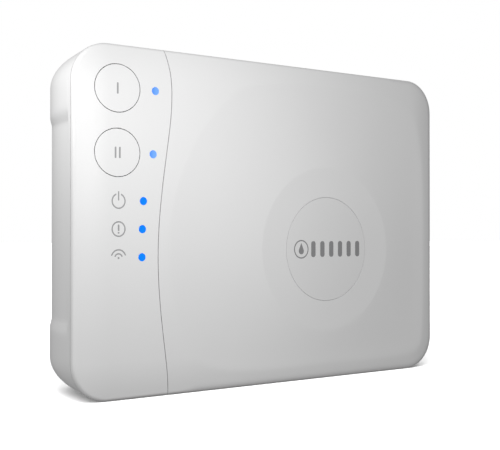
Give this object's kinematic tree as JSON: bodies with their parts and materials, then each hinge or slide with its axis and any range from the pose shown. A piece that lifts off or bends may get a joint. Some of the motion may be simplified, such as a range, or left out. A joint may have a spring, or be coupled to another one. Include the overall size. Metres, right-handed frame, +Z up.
{
  "type": "irrigation controller",
  "caption": "Flat wall-mounted water controller with rounded white casing, push buttons, indicator lights and a lift-off terminal cover.",
  "frame": {"origin": "centre of the flat back face, on the wall plane", "axes": "+Y out of the back face into the wall, so the front faces -Y; +X to the right seen from the front; +Z up"},
  "size_m": [0.206, 0.044, 0.148],
  "materials": {
    "casing_white": "satin moulded, fine spark texture",
    "button_white": "satin moulded",
    "badge_white": "satin moulded",
    "mark_grey": "printed, matt",
    "emblem_grey": "printed, matt",
    "seal_rubber": "soft matt",
    "grommet_rubber": "soft matt",
    "light_blue": "clear, lit blue",
    "led_white": "moulded chip",
    "board_green": "lacquered circuit board",
    "screw_steel": "zinc plated",
    "black_plastic": "moulded, matt",
    "switch_black": "moulded, matt",
    "relay_blue": "moulded, satin",
    "terminal_green": "moulded, satin",
    "header_white": "moulded, satin",
    "ribbon_grey": "ribbed cable jacket",
    "shield_metal": "tinned sheet",
    "capacitor_sleeve": "shrink sleeve",
    "capacitor_yellow": "moulded box",
    "varistor_blue": "dipped coating",
    "fuse_glass": "clear tube with metal caps",
    "module_blue": "potted module case"
  },
  "bodies": {
    "casing": {"buzzer": "black_plastic", "control_panel": "casing_white", "crystal": "shield_metal", "display_board": "board_green", "display_board_screws": "screw_steel", "display_header": "header_white", "electrolytic_capacitors": "capacitor_sleeve", "entry_strip": "casing_white", "filter_capacitor": "capacitor_yellow", "fuse_holder": "black_plastic", "fuse_link": "fuse_glass", "grommet_mains": "grommet_rubber", "grommet_sensors": "grommet_rubber", "grommet_valves": "grommet_rubber", "indicator_leds": "led_white", "light_pipe_1": "light_blue", "light_pipe_2": "light_blue", "light_pipe_3": "light_blue", "light_pipe_4": "light_blue", "light_pipe_5": "light_blue", "main_board": "board_green", "main_board_screws": "screw_steel", "main_header": "header_white", "mains_terminal": "terminal_green", "microcontroller": "black_plastic", "panel_marks": "mark_grey", "panel_screws": "screw_steel", "power_module": "module_blue", "rear_shell": "casing_white", "relay_1": "relay_blue", "relay_2": "relay_blue", "relay_3": "relay_blue", "relay_4": "relay_blue", "relay_driver": "black_plastic", "ribbon_cable": "ribbon_grey", "rim_gasket": "seal_rubber", "sensor_terminal": "terminal_green", "tact_switch_1": "switch_black", "tact_switch_2": "switch_black", "terminal_screws": "screw_steel", "valve_terminal_1": "terminal_green", "valve_terminal_2": "terminal_green", "varistor": "varistor_blue", "voltage_regulator": "black_plastic", "wireless_board": "board_green", "wireless_shield": "shield_metal"},
    "button_1": {"button_cap_1": "button_white", "button_mark_1": "mark_grey", "switch_plunger_1": "switch_black"},
    "button_2": {"button_cap_2": "button_white", "button_mark_2": "mark_grey", "switch_plunger_2": "switch_black"},
    "cover": {"terminal_cover": "casing_white", "cover_badge": "badge_white", "badge_emblem": "emblem_grey"}
  },
  "joints": [
    {"name": "button_1_press", "type": "slide", "parent": "casing", "child": "button_1", "axis": [0, 1, 0], "range_m": [0, 0.0006], "stiffness_N_per_m": 3000},
    {"name": "button_2_press", "type": "slide", "parent": "casing", "child": "button_2", "axis": [0, 1, 0], "range_m": [0, 0.0006], "stiffness_N_per_m": 3000},
    {"name": "cover_lift", "type": "slide", "parent": "casing", "child": "cover", "axis": [0, -1, 0], "range_m": [0, 0.045]}
  ]
}
